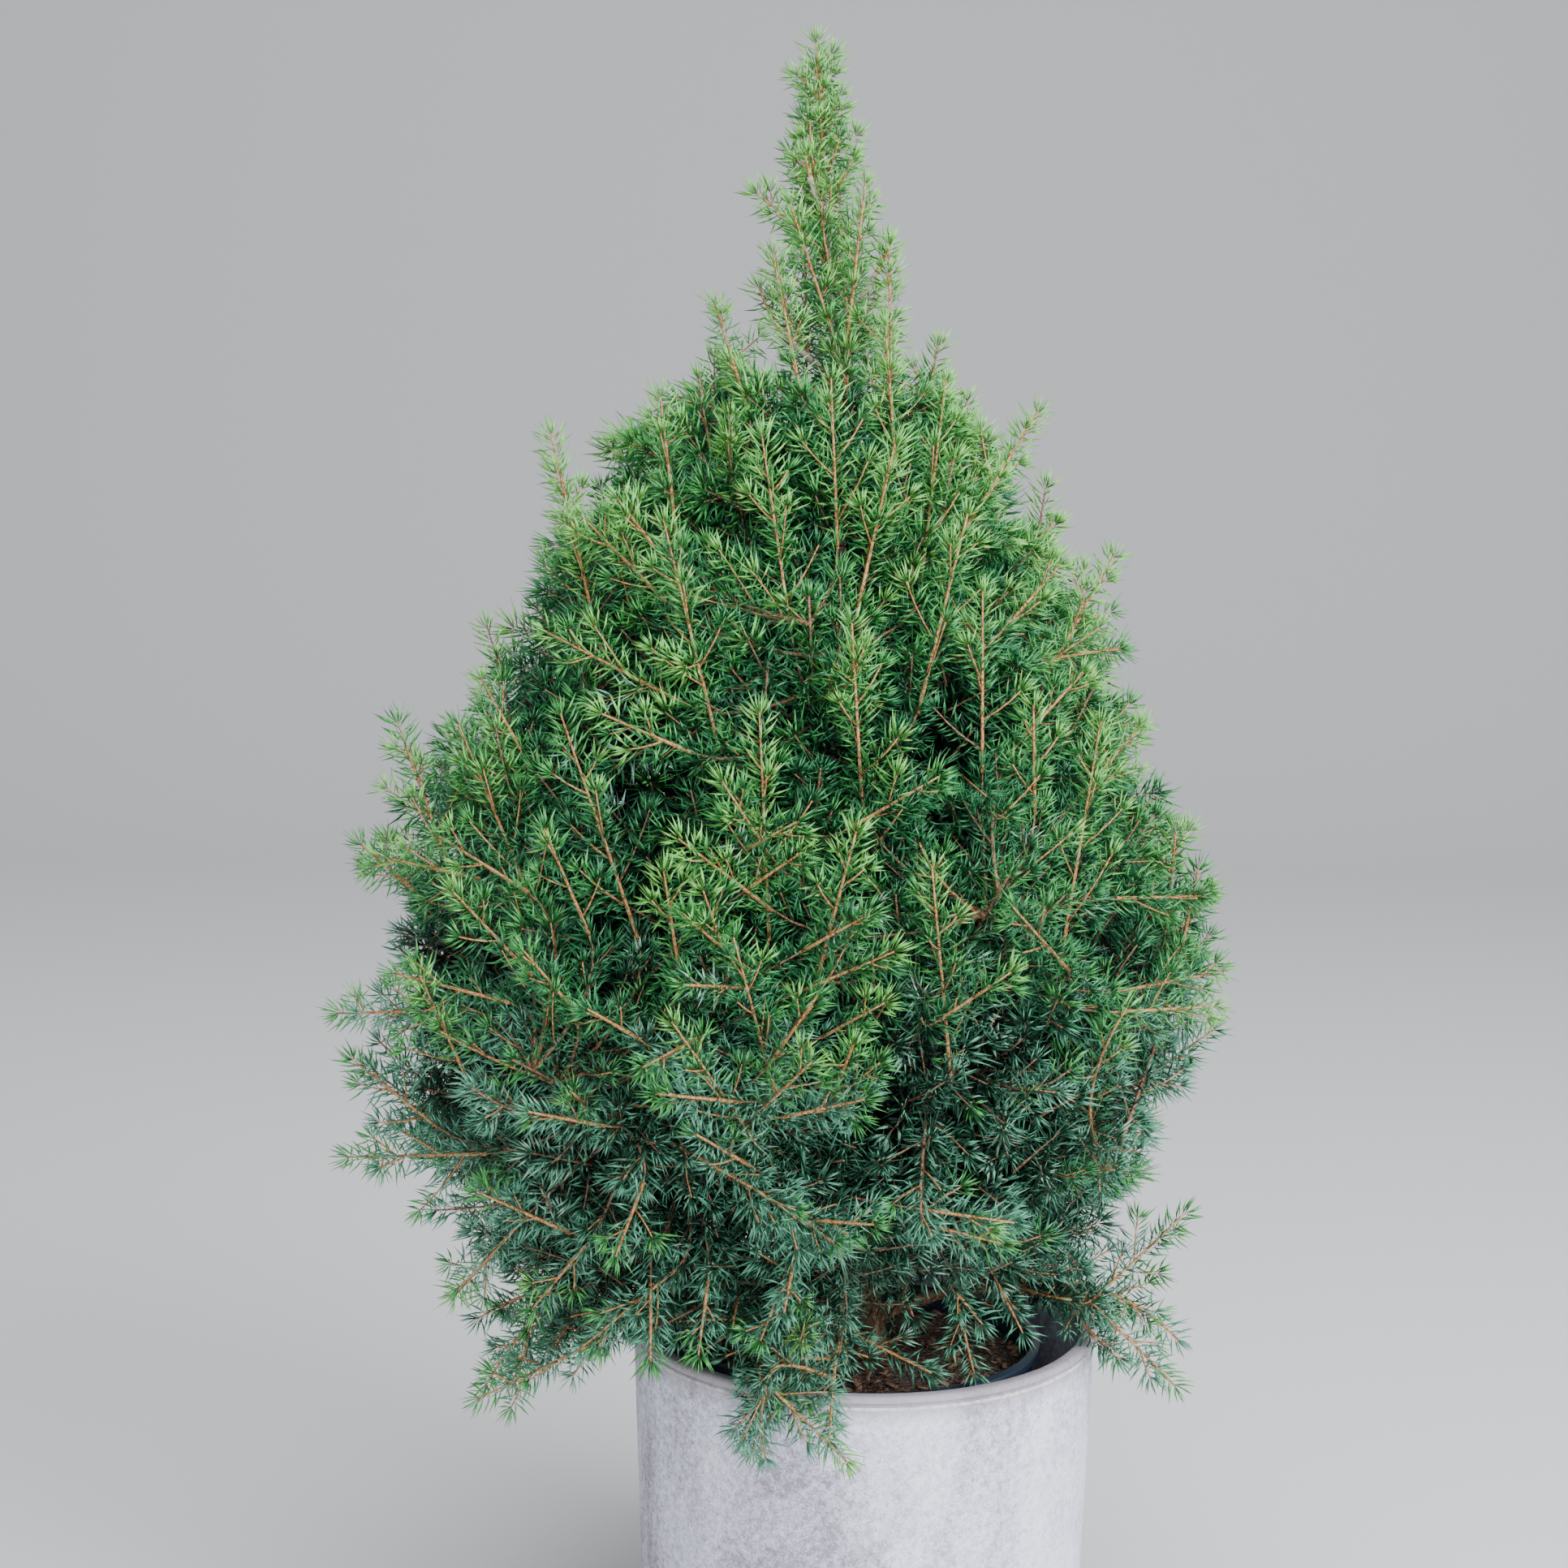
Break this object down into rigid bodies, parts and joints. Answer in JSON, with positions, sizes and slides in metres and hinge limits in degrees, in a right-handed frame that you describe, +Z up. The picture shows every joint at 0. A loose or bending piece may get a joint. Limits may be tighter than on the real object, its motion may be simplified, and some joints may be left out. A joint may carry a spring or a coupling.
{
  "type": "potted dwarf spruce",
  "caption": "Dwarf conical spruce with dense needled boughs on a leaning trunk, in a round clay pot on a saucer.",
  "frame": {"origin": "on the pot's axis, at the level of the saucer's flat underside", "axes": "+Z up along the pot's axis; -X to the side that the crown leans and bulges to; -Y to the side seen in the picture"},
  "size_m": [0.4589, 0.5285, 0.9208],
  "materials": {
    "clay": "unglazed, weathered with a pale bloom",
    "black_plastic": "satin",
    "soil": "crumbly, with bark litter",
    "bark": "rough",
    "needles": "waxy needles"
  },
  "bodies": {
    "root": {"saucer": "clay", "clay_pot": "clay", "nursery_pot": "black_plastic", "potting_soil": "soil", "trunk": "bark", "bough_01": "bark", "bough_02": "bark", "bough_03": "bark", "bough_04": "bark", "bough_05": "bark", "bough_06": "bark", "bough_07": "bark", "bough_08": "bark", "bough_09": "bark", "bough_10": "bark", "bough_11": "bark", "bough_12": "bark", "bough_13": "bark", "bough_14": "bark", "bough_15": "bark", "bough_16": "bark", "bough_17": "bark", "bough_18": "bark", "bough_19": "bark", "bough_low_left": "bark", "bough_low_right": "bark", "bough_low_front": "bark", "foliage_01": "needles", "foliage_02": "needles", "foliage_03": "needles", "foliage_04": "needles", "foliage_05": "needles", "foliage_06": "needles", "foliage_07": "needles", "foliage_08": "needles", "foliage_09": "needles", "foliage_10": "needles", "foliage_11": "needles", "foliage_12": "needles", "foliage_13": "needles", "foliage_14": "needles", "foliage_15": "needles", "foliage_16": "needles", "foliage_17": "needles", "foliage_18": "needles", "foliage_19": "needles", "foliage_low_left": "needles", "foliage_low_right": "needles", "foliage_low_front": "needles", "foliage_top_1": "needles", "foliage_top_2": "needles", "foliage_top_3": "needles", "foliage_top_4": "needles", "foliage_top_5": "needles", "foliage_top_6": "needles", "foliage_top_7": "needles", "foliage_leader": "needles"}
  },
  "joints": []
}
